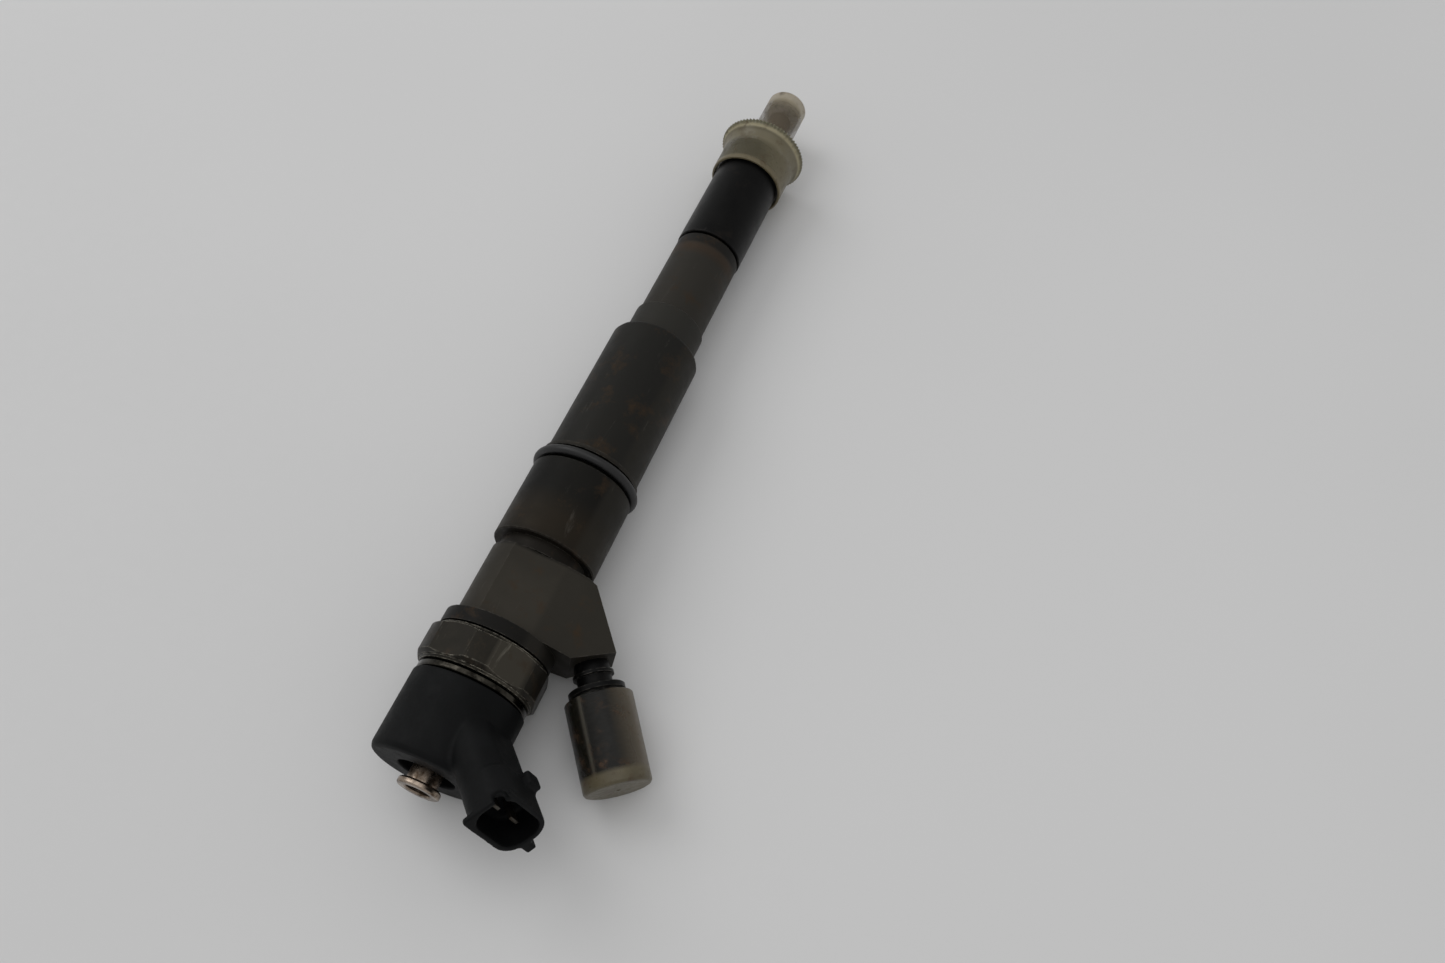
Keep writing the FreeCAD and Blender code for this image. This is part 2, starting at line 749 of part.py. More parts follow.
def valve_body():
    """Pilot valve body: ball seat, outlet throttle, control chamber and inlet throttle."""
    blank = turned("valve_blank", [
        ("0.3", "valve_flange_top"),
        ("0.3", "seat_top + 0.3"),
        ("0.6", "seat_top"),
        ("1.6", "seat_top"),
        ("2.2", "valve_flange_top"),
        ("valve_flange_radius", "valve_flange_top"),
        ("valve_flange_radius", "chamber_floor - 0.02"),
        ("valve_stem_radius", "chamber_floor - 0.02"),
        ("valve_stem_radius", "valve_stem_end - 3.5"),
        ("valve_stem_radius - 0.8", "valve_stem_end - 3.5"),
        ("valve_stem_radius - 0.8", "valve_stem_end - 1.5"),
        ("valve_stem_radius", "valve_stem_end - 1.5"),
        ("valve_stem_radius", "valve_stem_end"),
        ("piston_radius + 0.05", "valve_stem_end"),
        ("piston_radius + 0.05", "piston_top - 0.5"),
        ("0.3", "piston_top - 1.4"),
    ])
    throttle = drill("inlet_throttle", "0.25", "6",
                     at(ALONG, 0, value("piston_top") - 0.3), ALONG.Rotation.multVec(X))
    drain = drill("flange_drain", "0.8", "5",
                  at(ALONG, -value("leak_offset"), value("valve_flange_top") - 0.5), Y)
    return less("valve_body", blank, throttle, drain)


def valve_seal_ring():
    return turned("valve_seal_ring", [
        ("valve_stem_radius - 0.75", "valve_stem_end - 3.35"),
        ("stem_bore_radius - 0.02", "valve_stem_end - 3.35"),
        ("stem_bore_radius - 0.02", "valve_stem_end - 1.65"),
        ("valve_stem_radius - 0.75", "valve_stem_end - 1.65"),
    ])


def valve_piston():
    """Control piston that carries the pressure above it down to the needle."""
    return turned("valve_piston", [
        ("0", "piston_top"),
        ("piston_radius - 0.3", "piston_top"),
        ("piston_radius", "piston_top + 0.3"),
        ("piston_radius", "valve_stem_end + 3.0"),
        ("piston_radius - 0.2", "valve_stem_end + 3.2"),
        ("piston_radius - 0.2", "piston_end - 0.3"),
        ("piston_radius - 0.5", "piston_end"),
        ("0", "piston_end"),
    ])


def spring_shim():
    return turned("nozzle_spring_shim", [
        ("2.3", "spring_bore_top + 0.02"),
        ("spring_bore_radius - 0.1", "spring_bore_top + 0.02"),
        ("spring_bore_radius - 0.1", "spring_bore_top + 1.2"),
        ("2.3", "spring_bore_top + 1.2"),
    ])


def pressure_pin():
    """Pin between the control piston and the needle, with the spring's seat."""
    return turned("pressure_pin", [
        ("0", "piston_end + 0.01"),
        ("pin_radius", "piston_end + 0.01"),
        ("pin_radius", "nozzle_spring_end"),
        ("spring_bore_radius - 0.4", "nozzle_spring_end"),
        ("spring_bore_radius - 0.4", "nozzle_spring_end + 2.6"),
        ("pin_radius", "nozzle_spring_end + 3.4"),
        ("pin_radius", "pin_end"),
        ("0", "pin_end"),
    ])


def nozzle_needle():
    """Needle with its guided part, pressure shoulder, stem and seat cone."""
    return turned("nozzle_needle", [
        ("0", "pin_end + 0.01"),
        ("needle_stem_radius", "pin_end + 0.01"),
        ("needle_stem_radius", "holder_end + 0.6"),
        ("needle_radius", "holder_end + 0.6"),
        ("needle_radius", "nozzle_collar_end - 7.5"),
        ("needle_stem_radius", "nozzle_collar_end - 6.0"),
        ("needle_stem_radius", "nozzle_shaft_end + 0.3"),
        ("0.3", "nozzle_shaft_end + 2.0"),
        ("0", "nozzle_shaft_end + 2.15"),
    ])


def nozzle_body():
    """Nozzle with its clamping collar, slender shaft, seat, sac and six spray holes."""
    blank = turned("nozzle_blank", [
        ("needle_radius + 0.05", "holder_end + 0.05"),
        ("nozzle_collar_radius", "holder_end + 0.05"),
        ("nozzle_collar_radius", "nozzle_collar_end - 0.4"),
        ("nozzle_collar_radius - 0.4", "nozzle_collar_end"),
        ("nozzle_shaft_radius", "nozzle_collar_end"),
        ("nozzle_shaft_radius", "nozzle_shaft_end"),
        ("1.3", "nozzle_tip - 0.9"),
        ("0.8", "nozzle_tip - 0.3"),
        ("0", "nozzle_tip"),
        ("0", "nozzle_tip - 1.1"),
        ("0.5", "nozzle_tip - 1.5"),
        ("0.5", "nozzle_shaft_end + 2.0"),
        ("needle_radius + 0.1", "nozzle_shaft_end - 0.5"),
        ("needle_radius + 0.1", "nozzle_collar_end - 5.0"),
        ("3.4", "nozzle_collar_end - 5.0"),
        ("3.4", "nozzle_collar_end - 9.0"),
        ("needle_radius + 0.05", "nozzle_collar_end - 9.0"),
    ])
    start = at(ALONG, value("feed_offset"), value("holder_end") - 0.2)
    gallery = at(ALONG, 2.9, value("nozzle_collar_end") - 7.0)
    feed = drill("nozzle_feed", "0.75", str((gallery - start).Length), start, gallery - start)
    tools = [feed]
    for side, roll in enumerate((100, -100)):
        tools.append(drill("nozzle_dowel_hole_%d" % side, "0.8", "3",
                           dowel_point(roll, value("holder_end") - 1), Y))
    for number in range(6):
        turn = math.radians(60 * number + 20)
        out = FreeCAD.Vector(math.cos(turn), 0.3, math.sin(turn))
        tools.append(drill("spray_hole_%d" % number, "0.12", "3",
                           FreeCAD.Vector(0, value("nozzle_tip") - 1.8, 0), out))
    return less("nozzle_body", blank, *tools)


def locating_dowels():
    """Two pins that set the nozzle's angle on the holder."""
    pins = []
    for side, roll in enumerate((100, -100)):
        pins.append(drill("dowel_%d" % side, "0.78", "3.7",
                          dowel_point(roll, value("holder_end") - 1.85), Y))
    return group("locating_dowels", *pins)


def nozzle_nut():
    """Retaining nut that clamps the nozzle on the holder's end."""
    return turned("nozzle_nut", [
        ("holder_thread_radius + 0.05", "nozzle_nut_top"),
        ("nozzle_nut_radius - 0.25", "nozzle_nut_top"),
        ("nozzle_nut_radius", "nozzle_nut_top + 0.25"),
        ("nozzle_nut_radius", "0"),
        ("nozzle_nut_radius - 2.0", "nozzle_nut_face"),
        ("nozzle_shaft_radius + 0.1", "nozzle_nut_face"),
        ("nozzle_shaft_radius + 0.1", "nozzle_collar_end + 0.02"),
        ("nozzle_collar_radius + 0.1", "nozzle_collar_end + 0.02"),
        ("nozzle_collar_radius + 0.1", "holder_end + 1.0"),
        ("holder_thread_radius + 0.05", "holder_end + 1.0"),
    ])


def inlet_fitting():
    """High-pressure inlet union screwed in the arm."""
    return turned("inlet_fitting", [
        ("arm_feed_radius", "fitting_start + 0.05"),
        ("arm_hole_radius - 0.02", "fitting_start + 0.05"),
        ("arm_hole_radius - 0.02", "arm_face"),
        ("fitting_neck_radius", "arm_face + 0.3"),
        ("fitting_neck_radius", "arm_face + 2.4"),
        ("fitting_neck_radius + 0.7", "arm_face + 2.4"),
        ("fitting_neck_radius + 0.7", "arm_face + 3.3"),
        ("fitting_neck_radius", "arm_face + 3.3"),
        ("fitting_neck_radius", "inlet_thread_start - 1.9"),
        ("fitting_collar_radius", "inlet_thread_start - 1.9"),
        ("fitting_collar_radius", "inlet_thread_start - 0.4"),
        ("inlet_thread_radius - 0.8", "inlet_thread_start - 0.4"),
        ("inlet_thread_radius - 0.8", "inlet_thread_start - 0.2"),
        ("inlet_thread_radius", "inlet_thread_start"),
        ("inlet_thread_radius", "inlet_thread_end"),
        ("inlet_thread_radius - 0.9", "fitting_end - 0.3"),
        ("inlet_thread_radius - 1.6", "fitting_end"),
        ("4.3", "fitting_end"),
        ("2.0", "fitting_end - 3.2"),
        ("2.0", "inlet_thread_start"),
        ("arm_feed_radius", "inlet_thread_start"),
    ], ARM)


def edge_filter():
    """Grooved filter rod in the inlet bore."""
    return turned("edge_filter", [
        ("0", "inlet_thread_start + 0.02"),
        ("1.3", "inlet_thread_start + 0.02"),
        ("1.3", "inlet_thread_start + 1.4"),
        ("filter_radius", "inlet_thread_start + 1.4"),
        ("filter_radius", "inlet_thread_start + 5.4"),
        ("filter_radius - 0.3", "inlet_thread_start + 5.7"),
        ("filter_radius - 0.3", "inlet_thread_start + 6.7"),
        ("filter_radius", "inlet_thread_start + 7.0"),
        ("filter_radius", "inlet_thread_start + 11.4"),
        ("1.2", "inlet_thread_start + 12.0"),
        ("0", "inlet_thread_start + 12.0"),
    ], ARM)


def inlet_cap():
    """Push-on plastic cap over the inlet thread."""
    return turned("inlet_cap", [
        ("inlet_thread_radius + 0.5", "inlet_cap_rim"),
        ("inlet_cap_rim_radius - 0.2", "inlet_cap_rim"),
        ("inlet_cap_rim_radius", "inlet_cap_rim + 0.3"),
        ("inlet_cap_end_radius", "inlet_cap_end - 0.7"),
        ("inlet_cap_end_radius - 0.3", "inlet_cap_end - 0.2"),
        ("inlet_cap_end_radius - 0.8", "inlet_cap_end"),
        ("0.5", "inlet_cap_end"),
        ("0.4", "inlet_cap_end - 0.4"),
        ("0", "inlet_cap_end - 0.4"),
        ("0", "inlet_cap_end - 1.4"),
        ("5.8", "inlet_cap_end - 1.4"),
        ("6.3", "inlet_cap_end - 1.9"),
        ("6.3", "fitting_end + 0.6"),
        ("inlet_thread_radius + 0.05", "fitting_end - 0.5"),
        ("inlet_thread_radius + 0.05", "inlet_cap_rim + 0.7"),
    ], ARM)


def toothed_rim(teeth, height):
    """A thin disc with a finely serrated edge, about the long axis."""
    outer = value("cap_flange_radius")
    inner = outer - height
    station = value("cap_flange_end") - 0.9
    points = []
    for i in range(2 * teeth):
        turn = math.pi * i / teeth
        reach = inner if i % 2 else outer
        points.append(FreeCAD.Vector(reach * math.cos(turn), station, reach * math.sin(turn)))
    face = Part.Face(Part.makePolygon(points + points[:1]))
    rim = doc.addObject("Part::Feature", "cap_toothed_rim")
    rim.Shape = face.extrude(FreeCAD.Vector(0, 0.9, 0))
    return rim


def nozzle_cap():
    """Push-on plastic cap over the nozzle, with a serrated grip flange."""
    outside = turned("cap_outside", [
        ("0", "cap_rim + 1"),
        ("cap_skirt_radius - 0.6", "cap_rim + 1"),
        ("cap_skirt_radius - 0.6", "cap_rim"),
        ("cap_skirt_radius - 0.15", "cap_rim"),
        ("cap_skirt_radius", "cap_rim + 0.3"),
        ("cap_skirt_radius + 0.1", "cap_flange_side - 3.4"),
        ("cap_skirt_radius + 0.5", "cap_flange_side - 1.7"),
        ("cap_skirt_radius + 1.3", "cap_flange_side - 0.5"),
        ("cap_flange_radius", "cap_flange_side"),
        ("cap_flange_radius", "cap_flange_end - 0.9"),
        ("cap_flange_radius - 0.6", "cap_flange_end - 0.9"),
        ("cap_flange_radius - 0.6", "cap_flange_end"),
        ("cap_tube_radius + 0.5", "cap_flange_end"),
        ("cap_tube_radius", "cap_flange_end + 0.5"),
        ("cap_tube_radius - 0.1", "cap_end - 0.8"),
        ("cap_tube_radius - 0.4", "cap_end - 0.2"),
        ("cap_tube_radius - 0.9", "cap_end"),
        ("0", "cap_end"),
    ])
    inside = turned("cap_inside", [
        ("0", "cap_rim - 1"),
        ("cap_bore + 0.6", "cap_rim - 1"),
        ("cap_bore + 0.6", "cap_rim + 0.4"),
        ("cap_bore", "cap_rim + 2.0"),
        ("cap_bore", "0.1"),
        ("cap_bore - 1.9", "nozzle_nut_face + 0.1"),
        ("cap_tube_bore + 0.6", "nozzle_nut_face + 0.1"),
        ("cap_tube_bore", "nozzle_nut_face + 0.7"),
        ("cap_tube_bore - 0.1", "cap_end - 1.9"),
        ("cap_tube_bore - 0.7", "cap_end - 1.3"),
        ("0", "cap_end - 1.3"),
    ])
    return less("nozzle_cap", joined("cap_solid", outside, toothed_rim(72, 0.55)), inside)


PIECES = [
    holder_body(),
    solenoid_nut(),
    bright_ring(),
    magnet_can(),
    magnet_core(),
    coil_bobbin(),
    coil_winding(),
    head_cover(),
    return_nipple(),
    terminals(),
    ring("head_o_ring", "chamber_radius + 0.65", "head_ring_thick", "spigot_top + 0.9"),
    spring_rest(),
    coil_spring("valve_spring", "coil_floor - 3.2", "plate_top - 1.05", "1.95", "0.28", 8),
    armature_plate(),
    armature_bolt(),
    coil_spring("armature_spring", "plate_bottom + 0.32", "guide_floor + 2.0", "2.8", "0.3", 3),
    air_gap_shim(),
    armature_guide(),
    ball_cap(),
    valve_ball(),
    valve_body(),
    valve_seal_ring(),
    valve_piston(),
    spring_shim(),
    coil_spring("nozzle_spring", "spring_bore_top + 1.2", "nozzle_spring_end", "3.0", "0.55", 12),
    pressure_pin(),
    nozzle_needle(),
    nozzle_body(),
    locating_dowels(),
    nozzle_nut(),
    inlet_fitting(),
    edge_filter(),
    inlet_cap(),
    nozzle_cap(),
    ring("body_o_ring", "ring_groove_radius + body_ring_thick + 0.04", "body_ring_thick",
         "(ring_groove_top + ring_groove_bottom) / 2"),
]

doc.recompute()
for thing in doc.Objects:
    if "Invalid" in thing.State or "Error" in thing.State:
        raise RuntimeError("%s is %s" % (thing.Name, thing.State))

os.makedirs("parts", exist_ok=True)
for piece in PIECES:
    piece.Label = piece.Name
    shape = piece.Shape
    if shape.isNull() or not shape.isValid() or shape.Volume <= 0:
        raise RuntimeError("%s has no valid solid" % piece.Name)
    shape.exportStep(os.path.join("parts", piece.Label + ".step"))
    print("%-20s solids %d volume %.1f" % (piece.Name, len(shape.Solids), shape.Volume))
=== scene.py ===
import json
import math

import bmesh
import bpy
from mathutils import Matrix, Vector

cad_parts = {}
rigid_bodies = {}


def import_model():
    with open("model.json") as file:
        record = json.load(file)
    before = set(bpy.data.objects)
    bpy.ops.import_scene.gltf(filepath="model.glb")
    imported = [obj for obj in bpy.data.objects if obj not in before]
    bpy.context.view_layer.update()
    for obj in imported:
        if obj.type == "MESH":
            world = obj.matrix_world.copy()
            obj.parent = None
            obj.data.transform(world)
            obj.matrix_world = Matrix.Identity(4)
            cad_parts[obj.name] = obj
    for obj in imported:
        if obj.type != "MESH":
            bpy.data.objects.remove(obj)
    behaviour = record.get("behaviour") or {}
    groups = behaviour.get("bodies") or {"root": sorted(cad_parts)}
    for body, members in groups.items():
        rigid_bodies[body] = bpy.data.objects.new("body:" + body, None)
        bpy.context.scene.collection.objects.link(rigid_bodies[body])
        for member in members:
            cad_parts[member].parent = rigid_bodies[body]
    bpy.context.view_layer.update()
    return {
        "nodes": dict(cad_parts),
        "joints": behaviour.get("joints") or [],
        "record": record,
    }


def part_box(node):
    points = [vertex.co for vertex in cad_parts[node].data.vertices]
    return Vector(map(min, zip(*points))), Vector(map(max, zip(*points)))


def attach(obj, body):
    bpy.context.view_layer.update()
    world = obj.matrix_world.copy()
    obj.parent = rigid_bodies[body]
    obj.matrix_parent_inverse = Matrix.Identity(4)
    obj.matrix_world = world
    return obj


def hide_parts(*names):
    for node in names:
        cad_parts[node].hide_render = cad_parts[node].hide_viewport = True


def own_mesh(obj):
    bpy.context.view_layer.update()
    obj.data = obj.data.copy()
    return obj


for leftover in list(bpy.data.objects):
    bpy.data.objects.remove(leftover)

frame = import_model()

MM = 0.001
UP = Vector((0, 0, 1))
RECORD = frame["record"]
NODES = frame["nodes"]
SLOT_OF = {part["node"]: part["material_slot"] for part in RECORD["subparts"]}
BODY_OF = {
    node: body
    for body, nodes in RECORD["behaviour"]["bodies"].items()
    for node in nodes
}
INLET = next(mount for mount in RECORD["mounts"] if mount["name"] == "fuel_inlet")

# The inlet arm's axis, the point on it where its thread is centred, and the way across the arm.
ARM_AXIS = Vector(INLET["axis"]).normalized()
ARM_MID = Vector(INLET["pos_m"])
ARM_SIDE = UP.cross(ARM_AXIS).normalized()

# Lines that places are measured along: (direction, the place that counts as 0, in metres).
LENGTHWISE = (Vector((0, 1, 0)), 0.0)
SIDEWAYS = (Vector((1, 0, 0)), 0.0)
ALONG_ARM = (ARM_AXIS, ARM_MID.dot(ARM_AXIS))
ACROSS_ARM = (ARM_SIDE, ARM_MID.dot(ARM_SIDE))


# ---------------------------------------------------------------- node trees

class Paint:
    """Short calls for the nodes that the materials are made of."""

    def __init__(self, name):
        self.material = bpy.data.materials.new(name)
        self.material.use_nodes = True
        self.tree = self.material.node_tree
        self.tree.nodes.clear()
        output = self.tree.nodes.new("ShaderNodeOutputMaterial")
        self.shader = self.tree.nodes.new("ShaderNodeBsdfPrincipled")
        self.link(self.shader.outputs["BSDF"], output.inputs["Surface"])
        self.coords = self.tree.nodes.new("ShaderNodeTexCoord").outputs["Object"]

    def link(self, output, socket):
        self.tree.links.new(output, socket)

    def uniform(self, **values):
        """Sets values that are the same all over the surface, on the shader's own sockets."""
        for name, value in values.items():
            self.shader.inputs[name.replace("_", " ")].default_value = value

    def stretched(self, scale):
        """The piece's own coordinates, scaled along each axis."""
        node = self.tree.nodes.new("ShaderNodeMapping")
        node.inputs["Scale"].default_value = scale
        self.link(self.coords, node.inputs["Vector"])
        return node.outputs["Vector"]

    def noise(self, scale, detail, rough, stretch=(1, 1, 1), distort=0.0, seed=0.0):
        node = self.tree.nodes.new("ShaderNodeTexNoise")
        node.noise_dimensions = "4D"
        node.inputs["W"].default_value = seed
        node.inputs["Scale"].default_value = scale
        node.inputs["Detail"].default_value = detail
        node.inputs["Roughness"].default_value = rough
        node.inputs["Distortion"].default_value = distort
        self.link(self.stretched(stretch), node.inputs["Vector"])
        return node.outputs["Fac"]

    def ramp(self, source, low, high, start=0.0, end=1.0, clamp=True):
        """Turns low to high of the source into start to end."""
        node = self.tree.nodes.new("ShaderNodeMapRange")
        node.clamp = clamp
        node.inputs["From Min"].default_value = low
        node.inputs["From Max"].default_value = high
        node.inputs["To Min"].default_value = start
        node.inputs["To Max"].default_value = end
        self.link(source, node.inputs["Value"])
        return node.outputs["Result"]

    def math(self, kind, first, second):
        node = self.tree.nodes.new("ShaderNodeMath")
        node.operation = kind
        for socket, value in zip(node.inputs, (first, second)):
            if isinstance(value, (int, float)):
                socket.default_value = value
            else:
                self.link(value, socket)
        return node.outputs["Value"]

    def mix(self, factor, first, second):
        """Goes from the first colour to the second as factor goes from 0 to 1."""
        node = self.tree.nodes.new("ShaderNodeMix")
        node.data_type = "RGBA"
        self.link(factor, node.inputs["Factor"])
        for socket, value in ((node.inputs["A"], first), (node.inputs["B"], second)):
            if isinstance(value, tuple):
                socket.default_value = value + (1.0,)
            else:
                self.link(value, socket)
        return node.outputs["Result"]

    def place(self, direction):
        """How far along a direction the surface is, in metres."""
        node = self.tree.nodes.new("ShaderNodeVectorMath")
        node.operation = "DOT_PRODUCT"
        self.link(self.coords, node.inputs[0])
        node.inputs[1].default_value = direction
        return node.outputs["Value"]

    def fade(self, line, low, high):
        """0 before low on a line and 1 after high, both in mm."""
        direction, zero = line
        return self.ramp(self.place(direction), zero + low * MM, zero + high * MM)

    def stretch(self, line, low, high, soft):
        """1 between low and high on a line, fading over a soft edge, all in mm."""
        direction, zero = line
        place = self.place(direction)
        begun = self.ramp(place, zero + (low - soft) * MM, zero + (low + soft) * MM)
        left = self.ramp(place, zero + (high - soft) * MM, zero + (high + soft) * MM, 1.0, 0.0)
        return self.math("MULTIPLY", begun, left)

    def edges(self, width):
        """1 along sharp edges, where handling rubs the finish through. The width is in mm."""
        bevel = self.tree.nodes.new("ShaderNodeBevel")
        bevel.samples = 4
        bevel.inputs["Radius"].default_value = width * MM
        geometry = self.tree.nodes.new("ShaderNodeNewGeometry")
        dot = self.tree.nodes.new("ShaderNodeVectorMath")
        dot.operation = "DOT_PRODUCT"
        self.link(bevel.outputs["Normal"], dot.inputs[0])
        self.link(geometry.outputs["Normal"], dot.inputs[1])
        return self.ramp(dot.outputs["Value"], 0.995, 0.90)

    def bump(self, *layers):
        """layers are (height output, depth in mm) pairs, stacked."""
        normal = None
        for height, depth in layers:
            node = self.tree.nodes.new("ShaderNodeBump")
            node.inputs["Strength"].default_value = 1.0
            node.inputs["Distance"].default_value = depth * MM
            self.link(height, node.inputs["Height"])
            if normal is not None:
                self.link(normal, node.inputs["Normal"])
            normal = node.outputs["Normal"]
        self.link(normal, self.shader.inputs["Normal"])

    def colour(self, output):
        self.link(output, self.shader.inputs["Base Color"])

    def roughness(self, output):
        self.link(output, self.shader.inputs["Roughness"])


def scaled(colour, factor, added=0.0):
    return tuple(factor * channel + added for channel in colour)


def worn_steel(name, dark, light, stain, worn, rough, metal, turned=True, wear=0.55, zones=(),
               facets=()):
    """Phosphated or oxidised steel: mottled, with turning marks, stains and rubbed edges.

    zones are (from, to, soft edge, tint, share) stretches along the injector whose finish
    differs, and facets are such stretches across it, with no soft edge given. All are in mm.
    """
    p = Paint(name)
    mottle = p.noise(230, 4, 0.6)
    cloud = p.noise(55, 3, 0.55, seed=3.0)
    grain = p.noise(5200, 2, 0.6, seed=1.0)
    rust = p.noise(150, 5, 0.7, seed=7.0)
    scuff = p.noise(420, 5, 0.75, stretch=(1.0, 0.16, 1.0), distort=0.6, seed=11.0)
    chips = p.noise(900, 3, 0.6, seed=5.0)
    rings = p.noise(9, 4, 0.8, stretch=(1, 420, 1), seed=2.0) if turned else grain

    blend = p.math("ADD", p.ramp(mottle, 0.32, 0.68, 0.0, 0.5), p.ramp(cloud, 0.35, 0.65, 0.0, 0.5))
    base = p.mix(blend, dark, light)
    for low, high, soft, tint, share in zones:
        zone = p.math("MULTIPLY", p.stretch(LENGTHWISE, low, high, soft),
                      p.ramp(cloud, 0.30, 0.55, 0.6, 1.0))
        base = p.mix(p.math("MULTIPLY", zone, share), base, tint)
    for low, high, tint, share in facets:
        facet = p.stretch(SIDEWAYS, low, high, 0.6)
        base = p.mix(p.math("MULTIPLY", facet, share), base, tint)
    base = p.mix(p.ramp(rust, 0.56, 0.72, 0.0, 0.75), base, stain)

    edge = p.math("MULTIPLY", p.edges(0.35), p.ramp(chips, 0.40, 0.62))
    rub = p.math("MAXIMUM", p.ramp(scuff, 0.61, 0.76, 0.0, 0.34), p.math("MULTIPLY", edge, wear))
    p.colour(p.mix(rub, base, worn))

    gloss = p.math("ADD", p.ramp(mottle, 0.3, 0.7, rough - 0.05, rough + 0.09),
                   p.ramp(rings, 0.3, 0.7, -0.05, 0.05, clamp=False))
    p.roughness(p.math("SUBTRACT", gloss, p.math("MULTIPLY", rub, 0.12)))
    p.uniform(Metallic=metal, Specular_IOR_Level=0.15)
    p.bump((grain, 0.010), (rings, 0.006), (mottle, 0.03))
    return p.material


def bright_metal(name, colour, tarnish, rough):
    """Plated metal with fine brushing and patches of tarnish."""
    p = Paint(name)
    patches = p.noise(420, 4, 0.65)
    brushed = p.noise(14, 3, 0.7, stretch=(1, 380, 1), seed=4.0)
    p.colour(p.mix(p.ramp(patches, 0.42, 0.62), colour, tarnish))
    p.roughness(p.math("ADD", p.ramp(patches, 0.3, 0.7, rough, rough + 0.18),
                       p.ramp(brushed, 0.3, 0.7, -0.04, 0.06, clamp=False)))
    p.uniform(Metallic=1.0)
    p.bump((brushed, 0.006), (patches, 0.01))
    return p.material


def ground_metal(name, colour, rough):
    """Ground or lapped steel, with a thin film of oil in patches."""
    p = Paint(name)
    lay = p.noise(10, 4, 0.8, stretch=(1, 500, 1))
    film = p.noise(300, 3, 0.6, seed=6.0)
    p.colour(p.mix(p.ramp(film, 0.35, 0.7), colour, scaled(colour, 0.72)))
    p.roughness(p.ramp(lay, 0.3, 0.7, rough, rough + 0.14))
    p.uniform(Metallic=1.0)
    p.bump((lay, 0.003), (film, 0.004))
    return p.material


def moulded_plastic(name, colour, dust, rough, shine=0.5):
    """Glass-filled moulding: fine spark-eroded grain, dust in patches, rubbed edges."""
    p = Paint(name)
    grain = p.noise(3200, 2, 0.6)
    flow = p.noise(120, 3, 0.5, seed=2.0)
    grime = p.noise(340, 5, 0.7, seed=9.0)
    base = p.mix(p.ramp(flow, 0.3, 0.7), colour, scaled(colour, 1.5, 0.002))
    base = p.mix(p.ramp(grime, 0.55, 0.8, 0.0, 0.5), base, dust)
    p.colour(p.mix(p.math("MULTIPLY", p.edges(0.3), 0.35), base, dust))
    p.roughness(p.math("ADD", p.ramp(grime, 0.3, 0.75, rough - 0.05, rough + 0.12),
                       p.ramp(grain, 0.3, 0.7, -0.04, 0.04, clamp=False)))
    p.uniform(Metallic=0.0, Specular_IOR_Level=shine)
    p.bump((grain, 0.012), (flow, 0.05))
    return p.material


def milky_plastic(name, wall, dirt, alpha, places, lit):
    """Aged translucent cap plastic: thin walls clear, thick places cloudy, brown dirt in patches.

    places are (line, from, to, soft edge, colour, added cloudiness) stretches, and lit is
    (line, from, to, colour), for the side that light comes through. All are in mm.
    """
    p = Paint(name)
    cloud = p.noise(150, 4, 0.55)
    spots = p.noise(330, 5, 0.7, seed=5.0)
    scuff = p.noise(800, 4, 0.7, distort=0.8, seed=8.0)

    line, low, high, glow = lit
    base = p.mix(p.fade(line, low, high), wall, glow)
    haze = p.math("ADD", p.ramp(cloud, 0.3, 0.7, alpha - 0.06, alpha + 0.08),
                  p.ramp(spots, 0.54, 0.74, 0.0, 0.22))
    for line, low, high, soft, tint, added in places:
        inside = p.stretch(line, low, high, soft)
        base = p.mix(inside, base, tint)
        haze = p.math("ADD", haze, p.math("MULTIPLY", inside, added))
    base = p.mix(p.ramp(cloud, 0.40, 0.70, 0.0, 0.35), base, scaled(wall, 1.6))
    p.colour(p.mix(p.ramp(spots, 0.53, 0.68, 0.0, 0.85), base, dirt))

    haze = p.math("ADD", haze, p.math("MULTIPLY", p.edges(0.4), 0.15))
    p.link(haze, p.shader.inputs["Alpha"])
    p.roughness(p.ramp(scuff, 0.3, 0.7, 0.24, 0.46))
    p.uniform(Metallic=0.0, Specular_IOR_Level=0.3, IOR=1.48)
    p.bump((scuff, 0.012), (cloud, 0.06))
    return p.material


def rubber(name, black, bloomed):
    """Moulded rubber with a faint grey bloom in patches."""
    p = Paint(name)
    bloom = p.noise(260, 4, 0.6)
    skin = p.noise(2600, 2, 0.5, seed=3.0)
    p.colour(p.mix(p.ramp(bloom, 0.45, 0.75), black, bloomed))
    p.roughness(p.ramp(bloom, 0.3, 0.7, 0.36, 0.55))
    p.uniform(Metallic=0.0)
    p.bump((skin, 0.006))
    return p.material


def wound_wire(name, dark, light):
    """Close turns of enamelled wire round the long axis."""
    p = Paint(name)
    wave = p.tree.nodes.new("ShaderNodeTexWave")
    wave.bands_direction = "Y"
    wave.inputs["Scale"].default_value = 900
    p.link(p.coords, wave.inputs["Vector"])
    shade = p.noise(500, 3, 0.6)
    p.colour(p.mix(p.ramp(shade, 0.3, 0.7), dark, light))
    p.roughness(p.ramp(shade, 0.3, 0.7, 0.22, 0.38))
    p.uniform(Metallic=1.0)
    p.bump((wave.outputs["Fac"], 0.05))
    return p.material


def painted_table(name, dark, light):
    """A smooth white table top, barely uneven in tone and gloss."""
    p = Paint(name)
    tone = p.noise(3, 3, 0.5)
    fleck = p.noise(260, 3, 0.6, seed=2.0)
    p.colour(p.mix(p.ramp(tone, 0.35, 0.65), dark, light))
    p.roughness(p.ramp(fleck, 0.3, 0.7, 0.50, 0.62))
    p.uniform(Specular_IOR_Level=0.3)
    return p.material


